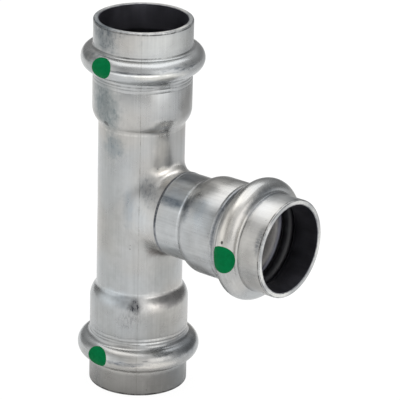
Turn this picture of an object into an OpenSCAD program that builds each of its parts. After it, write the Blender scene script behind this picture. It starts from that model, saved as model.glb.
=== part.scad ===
// Stainless press tee for 22 mm pipe: a run tube with a press socket at each end,
// a pulled collar, and a third press socket welded on as the branch.
// The run stands along +Z on its lower mouth, and the branch points along +X.

/* [Overall] */
// Length of the run, mouth to mouth
run_len = 98; // [86:1:160]
// Distance from the run's axis to the branch mouth
branch_len = 48; // [44:1:90]

/* [Tube] */
// Outside diameter of the run tube
tube_d = 22; // [21.9:0.05:23]
// Outside diameter of the branch stub
stub_d = 21.8; // [20.6:0.1:21.8]
// Wall thickness of every formed part
wall = 1.35; // [1:0.05:1.5]

/* [Sockets] */
// Outside diameter of the guide and of the socket behind the bead
socket_d = 25.2; // [24.4:0.1:26.4]
// How far a pipe goes in, from the mouth to the shoulder
insert_depth = 23; // [20:0.5:27]
// Length of the straight guide between the mouth and the bead
guide_len = 6.3; // [4:0.1:8]
// Radius of the round outer edge of each mouth
rim_r = 0.35; // [0.1:0.05:0.5]
// Radius of the shoulder's round crown
shoulder_crown_r = 5; // [2.4:0.1:6]
// Radius of the hollow where the shoulder runs into the tube
shoulder_foot_r = 1.6; // [0.6:0.1:3]

/* [Press beads] */
// Outside diameter of the bead that holds the seal
bead_d = 31.3; // [30:0.1:32.4]
// Radius of the bead's round crown
bead_crown_r = 3; // [2.6:0.1:3.2]
// Radius of the hollow between the guide and the bead
bead_front_r = 0.8; // [0.4:0.1:1.4]
// Radius of the hollow between the bead and the socket
bead_back_r = 1.3; // [0.6:0.1:2]
// Clearance between the seal ring and its groove
seal_clearance = 0.04; // [0.02:0.01:0.1]

/* [Tool marks] */
// Number of rolled crease lines behind each bead
crease_count = 2; // [0:1:3]
// Distance from the bead's back to the first crease
crease_start = 0.7; // [0.4:0.1:1.5]
// Distance from one crease to the next
crease_pitch = 1; // [0.7:0.1:1.5]
// Depth of a crease
crease_depth = 0.06; // [0.03:0.01:0.12]
// Radius of the round bottom of a crease
crease_r = 0.35; // [0.2:0.05:0.5]

/* [Branch collar and weld] */
// Radius of the hollow between the run and the collar
collar_r = 2; // [1.2:0.1:2.2]
// How far the weld's middle stands out from the run tube's surface
collar_len = 2.6; // [2.6:0.1:5]
// Width of the weld
weld_w = 0.8; // [0.5:0.1:1.2]
// Height of the weld's crown above the stub
weld_h = 0.08; // [0.04:0.01:0.15]

/* [Paint marks] */
// Diameter of a paint dot
dot_d = 6.8; // [3:0.1:7]
// Thickness of the paint
dot_t = 0.1; // [0.05:0.01:0.2]
// Place of the two run dots round the run's axis, in degrees from +X
run_dot_angle = -94; // [-180:1:180]
// Place of the branch dot round the branch axis, in degrees from straight up
branch_dot_angle = -92; // [-180:1:180]

/* [Hidden] */
$fn = 96;
// How far a cut runs past the face that it opens
past = 1;
// Steps along a crown, a foot and a small edge or crease
crown_steps = 9;
foot_steps = 5;
edge_steps = 4;
// Steps round the collar and across its hollow
collar_steps = 60;
hollow_steps = 7;
// How far the hollow's surface is sunk and carried on into the metal, so that it meets it cleanly
hollow_sink = 0.02;
hollow_extra = 7;

tube_r = tube_d / 2;
stub_r = stub_d / 2;
socket_r = socket_d / 2;
bead_r = bead_d / 2;
branch_z = run_len / 2;
// The weld fills the gap from the collar's end to the stub's end
collar_end = tube_r + collar_len - weld_w / 2;
stub_start = collar_end + weld_w;
// Length of a double curve that climbs by h, where its two radii add up to s
function climb(h, s) = sqrt(2 * s * h - h * h);
bead_top = guide_len + climb(bead_r - socket_r, bead_crown_r + bead_front_r);
bead_end = bead_top + climb(bead_r - socket_r, bead_crown_r + bead_back_r);
bead_centre_r = bead_r - bead_crown_r;
seal_r = bead_crown_r - wall - seal_clearance;

// End of the shoulder that leads from the socket to a tube of radius r, measured from the mouth
function shoulder_end(r) = insert_depth + climb(socket_r - r, shoulder_crown_r + shoulder_foot_r);

// Outlines are paths of [radius, distance from the mouth]
function arc(centre, r, from, to, steps) =
    [for (k = [0:steps]) let (a = from + (to - from) * k / steps) centre + r * [cos(a), sin(a)]];
function backwards(path) = [for (i = [len(path) - 1:-1:0]) path[i]];
// The same path as seen from the far end of a length
function from_far_end(path, length) = [for (p = backwards(path)) [p.x, length - p.y]];

// Climbs from radius low to radius high: a hollow foot at the height start, then a round crown
function rise(low, high, crown, foot, start) = let (
        far = climb(high - low, crown + foot),
        turn = atan2(far, high - crown - low - foot))
    concat(arc([low + foot, start], foot, 180, turn, foot_steps),
           arc([high - crown, start + far], crown, turn - 180, 0, crown_steps));
// The same climb, met from its crown
function fall(low, high, crown, foot, end) = from_far_end(rise(low, high, crown, foot, 0), end);

// The bead alone, inset by a distance from its outer face
function bead_path(inset) = let (
        low = socket_r - inset,
        high = bead_r - inset,
        crown = bead_crown_r - inset)
    concat(rise(low, high, crown, bead_front_r + inset, guide_len),
           fall(low, high, crown, bead_back_r + inset, bead_end));

// The shoulder that leads down to a tube of radius r
function shoulder_path(inset, r) =
    fall(r - inset, socket_r - inset, shoulder_crown_r - inset, shoulder_foot_r + inset, shoulder_end(r));

// Rolled crease lines behind the bead
function crease_path() = let (lean = acos(1 - crease_depth / crease_r))
    [for (i = [0:1:crease_count - 1])
        let (centre = [socket_r + crease_r - crease_depth, bead_end + crease_start + i * crease_pitch])
        each arc(centre, crease_r, 180 + lean, 180 - lean, edge_steps)];

// One socket from its mouth to the tube of radius r: its outer face, and its bore
function outer_path(r) = concat(arc([socket_r - rim_r, rim_r], rim_r, -90, 0, edge_steps),
                                bead_path(0), crease_path(), shoulder_path(0, r));
function inner_path(r, mouth) = concat([[socket_r - wall, mouth]], bead_path(wall), shoulder_path(wall, r));

// Solid of revolution between the run's axis and a path that is the same at both ends
module run_solid(path, reach) {
    rotate_extrude() polygon(concat([[0, -reach]], path, from_far_end(path, run_len), [[0, run_len + reach]]));
}

// Turns a shape that stands on its mouth so that it points along the branch
module on_branch(from = 0) {
    translate([from, 0, branch_z]) rotate([0, 90, 0]) children();
}

// Turns a socket that opens downwards so that its mouth is the branch mouth
module at_branch_mouth() {
    translate([branch_len, 0, branch_z]) rotate([0, -90, 0]) children();
}

// The hollow round the collar, as the skin of a ball that rolls along the run and the branch.
// At angle a round the branch the ball's centre is ball(a), and it touches the run along
// to_run(a) and the branch along to_branch(a).
function ball(a) = let (y = (stub_r + collar_r) * sin(a))
    [sqrt(pow(tube_r + collar_r, 2) - y * y), y, (stub_r + collar_r) * cos(a)];
function to_run(a) = let (c = ball(a)) [-c.x, -c.y, 0] / (tube_r + collar_r);
function to_branch(a) = [0, -sin(a), -cos(a)];
function hollow_point(a, k) = let (
        open = acos(to_run(a) * to_branch(a)),
        turn = -hollow_extra + (open + 2 * hollow_extra) * k / hollow_steps,
        way = (sin(open - turn) * to_run(a) + sin(turn) * to_branch(a)) / sin(open))
    ball(a) + (collar_r + hollow_sink) * way;
// A point inside the metal behind the hollow
function root_point(a) = let (r = stub_r - wall / 2)
    [sqrt(pow(tube_r, 2) - pow(r * sin(a), 2)) - wall / 2, r * sin(a), r * cos(a)];

module collar_hollow() {
    row = hollow_steps + 2;
    points = [for (i = [0:collar_steps - 1]) let (a = (i + 0.5) * 360 / collar_steps)
        for (k = [0:row - 1]) k <= hollow_steps ? hollow_point(a, k) : root_point(a)];
    faces = [for (i = [0:collar_steps - 1]) for (k = [0:row - 1]) let (
            here = i * row + k, there = i * row + (k + 1) % row,
            next = ((i + 1) % collar_steps) * row + k, across = ((i + 1) % collar_steps) * row + (k + 1) % row)
        each [[here, next, across], [here, across, there]]];
    translate([0, 0, branch_z]) polyhedron(points, faces, convexity = 6);
}

// The run: one tube with a socket formed at each end and a collar pulled out of its side,
// which is faced off square for the weld
module run_body() {
    color([0.66, 0.67, 0.67]) difference() {
        union() {
            run_solid(outer_path(tube_r), 0);
            on_branch() cylinder(h = collar_end + past, r = stub_r);
            collar_hollow();
        }
        run_solid(inner_path(tube_r, -past), past);
        on_branch() cylinder(h = collar_end + past * 2, r = stub_r - wall);
        on_branch(collar_end) cylinder(h = collar_r + past, r = stub_r + collar_r);
    }
}

// The branch: one socket with a short stub
module branch_socket() {
    stub_end = branch_len - stub_start;
    color([0.68, 0.69, 0.7]) at_branch_mouth() rotate_extrude()
        polygon(concat(outer_path(stub_r), [[stub_r, stub_end], [stub_r - wall, stub_end]],
                       backwards(inner_path(stub_r, 0))));
}

// The weld: metal fused through the wall between the collar and the stub, with a low round crown
module branch_weld() {
    crown_r = (weld_w * weld_w / 4 + weld_h * weld_h) / (2 * weld_h);
    lean = asin(weld_w / 2 / crown_r);
    color([0.5, 0.52, 0.56]) on_branch(collar_end) rotate_extrude()
        polygon(concat([[stub_r - wall, weld_w], [stub_r - wall, 0]],
                       arc([stub_r + weld_h - crown_r, weld_w / 2], crown_r, -lean, lean, crown_steps)));
}

// Seal ring in the bead of a socket whose mouth is at the origin
module seal() {
    color([0.06, 0.06, 0.07]) rotate_extrude()
        translate([bead_centre_r, bead_top]) circle(seal_r);
}

// Paint dot on the bead's crown, on the side that lies towards +X at angle 0
module paint_dot(angle) {
    color([0, 0.43, 0.23]) rotate([0, 0, angle]) intersection() {
        rotate_extrude() polygon(concat(bead_path(-dot_t), backwards(bead_path(0))));
        translate([0, 0, bead_top]) rotate([0, 90, 0]) cylinder(h = bead_r + past, d = dot_d);
    }
}

module bottom_seal() { seal(); }
module top_seal() { translate([0, 0, run_len]) mirror([0, 0, 1]) seal(); }
module branch_seal() { at_branch_mouth() seal(); }
module bottom_dot() { paint_dot(run_dot_angle); }
module top_dot() { translate([0, 0, run_len]) mirror([0, 0, 1]) paint_dot(run_dot_angle); }
module branch_dot() { at_branch_mouth() paint_dot(branch_dot_angle); }

run_body();
branch_socket();
branch_weld();
bottom_seal();
top_seal();
branch_seal();
bottom_dot();
top_dot();
branch_dot();
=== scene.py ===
"""Dresses one stainless press tee for 22 mm pipe.

A run stands on its lower mouth with a press socket at each end, and a third press socket is
welded to a collar pulled out of the run's side. Lengths are in metres. The run's axis is Z,
and the branch points along +X. A socket's own frame stands on its mouth, with the depth along +Z.
"""

from __future__ import annotations

import logging
import math
from dataclasses import dataclass
from enum import Enum
from typing import Iterable, Sequence

import bmesh
import bpy
import numpy as np
from mathutils import Matrix, Vector

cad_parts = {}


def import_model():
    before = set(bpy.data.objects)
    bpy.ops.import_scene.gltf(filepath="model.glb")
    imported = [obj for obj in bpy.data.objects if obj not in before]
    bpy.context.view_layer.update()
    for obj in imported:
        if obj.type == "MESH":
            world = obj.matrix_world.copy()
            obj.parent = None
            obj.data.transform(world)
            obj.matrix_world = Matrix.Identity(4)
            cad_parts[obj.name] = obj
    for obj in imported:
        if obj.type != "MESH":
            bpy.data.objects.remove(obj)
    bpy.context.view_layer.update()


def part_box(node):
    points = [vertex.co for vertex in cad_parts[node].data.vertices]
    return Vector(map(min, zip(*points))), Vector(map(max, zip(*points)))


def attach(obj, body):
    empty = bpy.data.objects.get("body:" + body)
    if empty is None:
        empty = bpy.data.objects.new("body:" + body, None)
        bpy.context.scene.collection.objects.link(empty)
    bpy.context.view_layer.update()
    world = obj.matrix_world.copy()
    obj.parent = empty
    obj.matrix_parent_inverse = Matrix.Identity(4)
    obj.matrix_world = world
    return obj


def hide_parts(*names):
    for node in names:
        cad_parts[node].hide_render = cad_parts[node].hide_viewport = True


log = logging.getLogger("press_tee")

MM = 0.001
IMAGE_SIZE = 400
MERGE_DISTANCE = 2e-7
JOIN_DISTANCE = 1e-6
SHARP_ANGLE = 38.0

Colour = tuple[float, float, float]
Outline = list[tuple[float, float]]
GroupInput = tuple[str, str, float | None]


def seen(red: float, green: float, blue: float) -> Colour:
    """Turns a colour as the eye reads it, from 0 to 255, into the linear one that a shader takes.

    Args:
        red: Red share.
        green: Green share.
        blue: Blue share.

    Returns:
        The linear colour.
    """

    def channel(value: float) -> float:
        """One channel of the colour."""
        share = value / 255
        return share / 12.92 if share <= 0.04045 else ((share + 0.055) / 1.055) ** 2.4

    return channel(red), channel(green), channel(blue)


def direction(turn: float, lift: float) -> Vector:
    """A unit vector at an angle from +X and a height over the floor, both in degrees."""
    side, up = math.radians(turn), math.radians(lift)
    return Vector((math.cos(side) * math.cos(up), math.sin(side) * math.cos(up), math.sin(up)))


def link(made: bpy.types.Object) -> bpy.types.Object:
    """Puts an object into the scene, and gives it back."""
    bpy.context.scene.collection.objects.link(made)
    return made


class Site(Enum):
    """The three mouths of the tee."""

    BOTTOM = "bottom"
    TOP = "top"
    BRANCH = "branch"


class Wire:
    """A value in a node tree, with sums written as sums."""

    def __init__(self, sketch: Sketch, socket: bpy.types.NodeSocket) -> None:
        """Keeps the socket that the value comes from."""
        self.sketch = sketch
        self.socket = socket

    def __add__(self, other: Wire | float) -> Wire:
        """Sum."""
        return self.sketch.math("ADD", self, other)

    def __sub__(self, other: Wire | float) -> Wire:
        """Difference."""
        return self.sketch.math("SUBTRACT", self, other)

    def __rsub__(self, other: float) -> Wire:
        """Difference from a number."""
        return self.sketch.math("SUBTRACT", other, self)

    def __mul__(self, other: Wire | float) -> Wire:
        """Product."""
        return self.sketch.math("MULTIPLY", self, other)

    def __truediv__(self, other: Wire | float) -> Wire:
        """Quotient."""
        return self.sketch.math("DIVIDE", self, other)

    __radd__ = __add__
    __rmul__ = __mul__

    def call(self, operation: str, *others: Wire | float) -> Wire:
        """Any other operation of the Math node, such as SINE or FLOOR."""
        return self.sketch.math(operation, self, *others)

    def rise(self, low: float, high: float) -> Wire:
        """A smooth climb from 0 at low to 1 at high.

        Args:
            low: Where the climb starts.
            high: Where it ends. It may lie below low, and then the value falls.

        Returns:
            The climb.
        """
        if high < low:
            return 1.0 - self.rise(high, low)
        node = self.sketch.node("ShaderNodeMapRange", Value=self, From_Min=low, From_Max=high)
        node.interpolation_type = "SMOOTHSTEP"
        return self.sketch.out(node, "Result")


class Sketch:
    """Adds nodes to a tree and links them."""

    def __init__(self, tree: bpy.types.NodeTree) -> None:
        """Keeps the tree."""
        self.tree = tree

    def node(self, kind: str, **inputs: object) -> bpy.types.Node:
        """Adds a node.

        Args:
            kind: The node's type, as Blender names it.
            **inputs: Values or wires for its inputs, where a name's underscores stand for spaces.

        Returns:
            The node.
        """
        return self.fill(self.tree.nodes.new(kind), inputs)

    def fill(self, made: bpy.types.Node, inputs: dict[str, object]) -> bpy.types.Node:
        """Feeds a node's inputs by name, and gives the node back."""
        for name, value in inputs.items():
            self.feed(made.inputs[name.replace("_", " ")], value)
        return made

    def feed(self, socket: bpy.types.NodeSocket, value: object) -> None:
        """Links an input, or sets it.

        Args:
            socket: The input.
            value: A wire or another node's output, or else the plain value to set.
        """
        if isinstance(value, Wire):
            self.tree.links.new(value.socket, socket)
        elif isinstance(value, bpy.types.NodeSocket):
            self.tree.links.new(value, socket)
        else:
            socket.default_value = value

    def out(self, node: bpy.types.Node, name: str | int = 0) -> Wire:
        """One output of a node as a wire."""
        return Wire(self, node.outputs[name])

    def math(self, operation: str, *values: Wire | float) -> Wire:
        """Adds a Math node.

        Args:
            operation: The node's operation, as Blender names it.
            *values: Up to three values.

        Returns:
            The result.
        """
        made = self.node("ShaderNodeMath")
        made.operation = operation
        for socket, value in zip(made.inputs, values):
            self.feed(socket, value)
        return self.out(made)

    def vector(self, x: Wire | float, y: Wire | float, z: Wire | float) -> Wire:
        """A vector put together from three values."""
        return self.out(self.node("ShaderNodeCombineXYZ", X=x, Y=y, Z=z))

    def split(self, vector: Wire) -> tuple[Wire, Wire, Wire]:
        """The three parts of a vector."""
        node = self.node("ShaderNodeSeparateXYZ", Vector=vector)
        return self.out(node, "X"), self.out(node, "Y"), self.out(node, "Z")

    def noise(self, vector: Wire, scale: float, detail: float, rough: float) -> Wire:
        """A noise texture's value, from about 0.3 to 0.7."""
        made = self.node("ShaderNodeTexNoise", Vector=vector, Scale=scale, Detail=detail, Roughness=rough)
        return self.out(made)

    def mix(
        self, share: Wire | float, first: Wire | Colour, second: Wire | Colour, blend: str = "MIX"
    ) -> Wire:
        """Mixes two colours.

        Args:
            share: How far the second colour acts, from 0 to 1.
            first: The colour at 0.
            second: The colour at 1, or what the first is blended with there.
            blend: The node's blend type, as Blender names it.

        Returns:
            The mixed colour.
        """
        made = self.node("ShaderNodeMix")
        made.data_type, made.blend_type = "RGBA", blend
        self.feed(made.inputs["Factor"], share)
        for socket, value in zip([s for s in made.inputs if s.type == "RGBA"], (first, second)):
            self.feed(socket, (*value, 1.0) if isinstance(value, tuple) else value)
        return Wire(self, next(s for s in made.outputs if s.type == "RGBA"))

    def tinted(self, colour: Wire, share: Wire | float, factor: Colour) -> Wire:
        """A colour times another colour, as far as share says."""
        return self.mix(share, colour, factor, "MULTIPLY")

    def scaled(self, vector: Wire, share: Wire | float) -> Wire:
        """Multiplies a vector or a colour by a number.

        Args:
            vector: The vector or colour.
            share: The number.

        Returns:
            The product.
        """
        made = self.node("ShaderNodeVectorMath")
        made.operation = "SCALE"
        self.feed(made.inputs[0], vector)
        self.feed(made.inputs["Scale"], share)
        return self.out(made)

    def stretched(self, vector: Wire, x: float, y: float, z: float) -> Wire:
        """Multiplies each part of a vector by its own number.

        Args:
            vector: The vector.
            x: The number for its X part. A small one draws a pattern out along X.
            y: The number for its Y part.
            z: The number for its Z part.

        Returns:
            The product.
        """
        made = self.node("ShaderNodeVectorMath")
        made.operation = "MULTIPLY"
        self.feed(made.inputs[0], vector)
        made.inputs[1].default_value = (x, y, z)
        return self.out(made)

    def group(self, tree: bpy.types.NodeTree, **inputs: object) -> bpy.types.Node:
        """Places a node group.

        Args:
            tree: The group.
            **inputs: Values or wires for its inputs, named in the same way.

        Returns:
            The group's node.
        """
        made = self.node("ShaderNodeGroup")
        made.node_tree = tree
        return self.fill(made, inputs)

    def bump(self, shader: bpy.types.Node, height: Wire, strength: float, distance: float) -> None:
        """Feeds a shader's normal with a bump.

        Args:
            shader: The shader.
            height: The relief, as a share of distance.
            strength: The node's strength.
            distance: How high the relief stands.
        """
        made = self.node("ShaderNodeBump", Height=height, Strength=strength, Distance=distance)
        self.feed(shader.inputs["Normal"], self.out(made))


def number_inputs(**defaults: float) -> list[GroupInput]:
    """Number inputs for a node group, where a name's underscores stand for spaces."""
    return [(name.replace("_", " "), "NodeSocketFloat", default) for name, default in defaults.items()]


def new_group(
    name: str, kind: str, inputs: Iterable[GroupInput], outputs: Iterable[tuple[str, str]]
) -> tuple[Sketch, bpy.types.Node, bpy.types.Node]:
    """Starts a node group.

    Args:
        name: Its name.
        kind: GeometryNodeTree or ShaderNodeTree.
        inputs: Name, socket type and default of each input.
        outputs: Name and socket type of each output.

    Returns:
        A sketch on the new tree, its Group Input and its Group Output.
    """
    tree = bpy.data.node_groups.new(name, kind)
    for label, socket_type, default in inputs:
        socket = tree.interface.new_socket(label, in_out="INPUT", socket_type=socket_type)
        if default is not None:
            socket.default_value = default
    for label, socket_type in outputs:
        tree.interface.new_socket(label, in_out="OUTPUT", socket_type=socket_type)
    return Sketch(tree), tree.nodes.new("NodeGroupInput"), tree.nodes.new("NodeGroupOutput")


def new_effect(
    name: str, inputs: Iterable[GroupInput], *outputs: str
) -> tuple[Sketch, bpy.types.Node, bpy.types.Node]:
    """Starts a shader group that puts out numbers."""
    return new_group(name, "ShaderNodeTree", inputs, [(label, "NodeSocketFloat") for label in outputs])


def new_material(name: str) -> tuple[bpy.types.Material, Sketch, bpy.types.Node, Wire]:
    """Starts a material.

    Args:
        name: Its name.

    Returns:
        The material, a sketch on its tree, its shader, and the place on the piece.
    """
    material = bpy.data.materials.new(name)
    material.use_nodes = True
    sketch = Sketch(material.node_tree)
    vector = sketch.out(sketch.node("ShaderNodeTexCoord"), "Object")
    return material, sketch, sketch.tree.nodes["Principled BSDF"], vector


@dataclass(frozen=True)
class PressSocket:
    """The sizes of one press socket, in its own frame."""

    socket_r: float = 12.6 * MM
    bead_r: float = 15.65 * MM
    wall: float = 1.35 * MM
    insert_depth: float = 23.0 * MM
    guide_len: float = 6.3 * MM
    rim_r: float = 0.35 * MM
    rim_chamfer: float = 0.12 * MM
    bead_crown_r: float = 3.0 * MM
    bead_front_r: float = 0.8 * MM
    bead_back_r: float = 1.3 * MM
    shoulder_crown_r: float = 5.0 * MM
    shoulder_foot_r: float = 1.6 * MM
    crease_count: int = 2
    crease_start: float = 0.7 * MM
    crease_pitch: float = 1.0 * MM
    crease_depth: float = 0.06 * MM
    crease_r: float = 0.35 * MM
    crown_steps: int = 16
    foot_steps: int = 8
    edge_steps: int = 5
    slope_step: float = 0.1 * MM

    @staticmethod
    def climb(height: float, radii: float) -> float:
        """Length of a double curve that climbs by height, where its two radii add up to radii."""
        return math.sqrt(2 * radii * height - height * height)

    @property
    def bead_top(self) -> float:
        """Depth of the bead's crest."""
        return self.guide_len + self.climb(self.bead_r - self.socket_r, self.bead_crown_r + self.bead_front_r)

    @property
    def bead_end(self) -> float:
        """Depth at which the bead ends."""
        return self.bead_top + self.climb(self.bead_r - self.socket_r, self.bead_crown_r + self.bead_back_r)

    def shoulder_end(self, tube_r: float) -> float:
        """Depth at which the shoulder has come down to a tube of radius tube_r."""
        return self.insert_depth + self.climb(
            self.socket_r - tube_r, self.shoulder_crown_r + self.shoulder_foot_r
        )

    @staticmethod
    def arc(centre: tuple[float, float], radius: float, start: float, end: float, steps: int) -> Outline:
        """Points along an arc, from one angle to another, in degrees."""
        turns = np.radians(np.linspace(start, end, steps + 1))
        return [(centre[0] + radius * math.cos(t), centre[1] + radius * math.sin(t)) for t in turns]

    def rise(self, low: float, high: float, crown: float, foot: float, start: float) -> Outline:
        """A climb of the contour: a hollow foot, then a round crown.

        Args:
            low: Radius at its foot.
            high: Radius at its crown.
            crown: Radius of the crown's arc.
            foot: Radius of the foot's arc.
            start: Depth at its foot.

        Returns:
            Its points, from the foot.
        """
        far = self.climb(high - low, crown + foot)
        turn = math.degrees(math.atan2(far, high - crown - low - foot))
        return self.arc((low + foot, start), foot, 180, turn, self.foot_steps) + self.arc(
            (high - crown, start + far), crown, turn - 180, 0, self.crown_steps
        )

    def fall(self, low: float, high: float, crown: float, foot: float, end: float) -> Outline:
        """The same climb, met from its crown."""
        return [(radius, end - depth) for radius, depth in reversed(self.rise(low, high, crown, foot, 0.0))]

    def bead_path(self, inset: float) -> Outline:
        """Draws the bead.

        Args:
            inset: Distance in from its outer face.

        Returns:
            Its points, from the guide to the socket.
        """
        low, high, crown = self.socket_r - inset, self.bead_r - inset, self.bead_crown_r - inset
        return self.rise(low, high, crown, self.bead_front_r + inset, self.guide_len) + self.fall(
            low, high, crown, self.bead_back_r + inset, self.bead_end
        )

    def shoulder_path(self, inset: float, tube_r: float) -> Outline:
        """Draws the shoulder.

        Args:
            inset: Distance in from its outer face.
            tube_r: Outer radius of the tube that it ends on.

        Returns:
            Its points, from the socket to the tube.
        """
        return self.fall(
            tube_r - inset,
            self.socket_r - inset,
            self.shoulder_crown_r - inset,
            self.shoulder_foot_r + inset,
            self.shoulder_end(tube_r),
        )

    def skin(self, along: np.ndarray) -> tuple[np.ndarray, np.ndarray, np.ndarray, np.ndarray]:
        """Follows the bead's outer face from its crest.

        Args:
            along: Distances over the face, counted from the crest towards the tube.

        Returns:
            The radius and the depth there, and the face's direction as its radial and depth parts.
        """
        path = np.array([(self.socket_r, 0.0), *self.bead_path(0.0), (self.socket_r, self.insert_depth)])
        way = np.concatenate([[0.0], np.cumsum(np.hypot(*np.diff(path, axis=0).T))])
        way -= np.interp(self.bead_top, path[:, 1], way)

        def spot(distance: np.ndarray) -> np.ndarray:
            """Radius and depth at a distance over the face."""
            return np.array([np.interp(distance, way, path[:, 0]), np.interp(distance, way, path[:, 1])])

        slope = spot(along + self.slope_step) - spot(along - self.slope_step)
        slope /= np.hypot(*slope)
        return *spot(along), slope[1], -slope[0]

    def crease_path(self) -> Outline:
        """Draws the rolled crease lines behind the bead.

        Returns:
            Their points, from the bead to the socket.
        """
        lean = math.degrees(math.acos(1 - self.crease_depth / self.crease_r))
        path: Outline = []
        for number in range(self.crease_count):
            depth = self.bead_end + self.crease_start + number * self.crease_pitch
            centre = (self.socket_r + self.crease_r - self.crease_depth, depth)
            path += self.arc(centre, self.crease_r, 180 + lean, 180 - lean, self.edge_steps)
        return path

    def outer_path(self, tube_r: float) -> Outline:
        """Draws the outer face.

        Args:
            tube_r: Outer radius of the tube.

        Returns:
            Its points, from the flat of the rim to the tube.
        """
        bore = self.socket_r - self.wall
        edge = self.arc((self.socket_r - self.rim_r, self.rim_r), self.rim_r, -90, 0, self.edge_steps)
        path = [(bore + self.rim_chamfer, 0.0)] + edge + self.bead_path(0.0)
        return path + self.crease_path() + self.shoulder_path(0.0, tube_r)

    def inner_path(self, tube_r: float) -> Outline:
        """The bore, from the rim's inner edge to the tube."""
        bore = self.socket_r - self.wall
        return [(bore, self.rim_chamfer)] + self.bead_path(self.wall) + self.shoulder_path(self.wall, tube_r)


@dataclass(frozen=True)
class Frame:
    """Where the mouths are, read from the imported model."""

    run_len: float
    branch_len: float

    @classmethod
    def read(cls) -> Frame:
        """Measures the run and the branch."""
        return cls(run_len=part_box("run_body")[1].z, branch_len=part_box("branch_socket")[1].x)

    @property
    def branch_z(self) -> float:
        """Height of the branch's axis."""
        return self.run_len / 2

    def place(self, site: Site) -> Matrix:
        """Moves a part that was made on its mouth.

        Args:
            site: The mouth that it goes to.

        Returns:
            The move. At the top it mirrors, so that all three sockets keep one outline.
        """
        if site is Site.TOP:
            return Matrix.Translation((0, 0, self.run_len)) @ Matrix.Scale(-1, 4, (0, 0, 1))
        if site is Site.BRANCH:
            turn = Matrix.Rotation(math.radians(-90), 4, "Y")
            return Matrix.Translation((self.branch_len, 0, self.branch_z)) @ turn
        return Matrix.Identity(4)


class Shell:
    """Faces gathered into one mesh, with a mark on what lies in the bore."""

    def __init__(self) -> None:
        """Starts empty."""
        self.points: list[tuple[float, float, float]] = []
        self.faces: list[tuple[int, ...]] = []
        self.bore: list[float] = []

    def add(
        self, points: Iterable[Sequence[float]], faces: Iterable[Sequence[int]], bore: Iterable[float]
    ) -> None:
        """Adds faces.

        Args:
            points: Their points.
            faces: Their corners, as numbers of these points.
            bore: The mark of each point, 1 where it lies in the bore.
        """
        first = len(self.points)
        self.points += [tuple(float(v) for v in point) for point in points]
        self.faces += [tuple(first + corner for corner in face) for face in faces]
        self.bore += [float(mark) for mark in bore]

    def add_rows(self, rows: Sequence[np.ndarray], bore: float) -> None:
        """Adds a band of quads between closed rows of points.

        Args:
            rows: Rows with the same number of points each. Seen from outside, each row runs
                to the right and the next row lies above it.
            bore: The mark of every point.
        """
        count = len(rows[0])
        faces = []
        for low in range(0, (len(rows) - 1) * count, count):
            high = low + count
            for left in range(count):
                right = (left + 1) % count
                faces.append((low + left, low + right, high + right, high + left))
        self.add(np.concatenate(rows), faces, [bore] * (count * len(rows)))

    def add_mesh(self, mesh: bpy.types.Mesh, place: Matrix) -> None:
        """Adds a finished mesh.

        Args:
            mesh: The mesh, with its marks.
            place: The move to its place, which may mirror.
        """
        marks = mesh.attributes["bore"].data
        turned = place.determinant() < 0
        faces = [tuple(reversed(p.vertices)) if turned else tuple(p.vertices) for p in mesh.polygons]
        self.add([place @ v.co for v in mesh.vertices], faces, [m.value for m in marks])

    def mesh(self, name: str) -> bpy.types.Mesh:
        """Joins the faces at their shared points.

        Args:
            name: The mesh's name.

        Returns:
            A smooth mesh with its hard edges marked.
        """
        made = bpy.data.meshes.new(name)
        made.from_pydata(self.points, [], self.faces)
        made.attributes.new("bore", "FLOAT", "POINT").data.foreach_set("value", self.bore)
        work = bmesh.new()
        work.from_mesh(made)
        bmesh.ops.remove_doubles(work, verts=work.verts, dist=JOIN_DISTANCE)
        work.to_mesh(made)
        work.free()
        made.shade_smooth()
        made.set_sharp_from_angle(angle=math.radians(SHARP_ANGLE))
        return made


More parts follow.
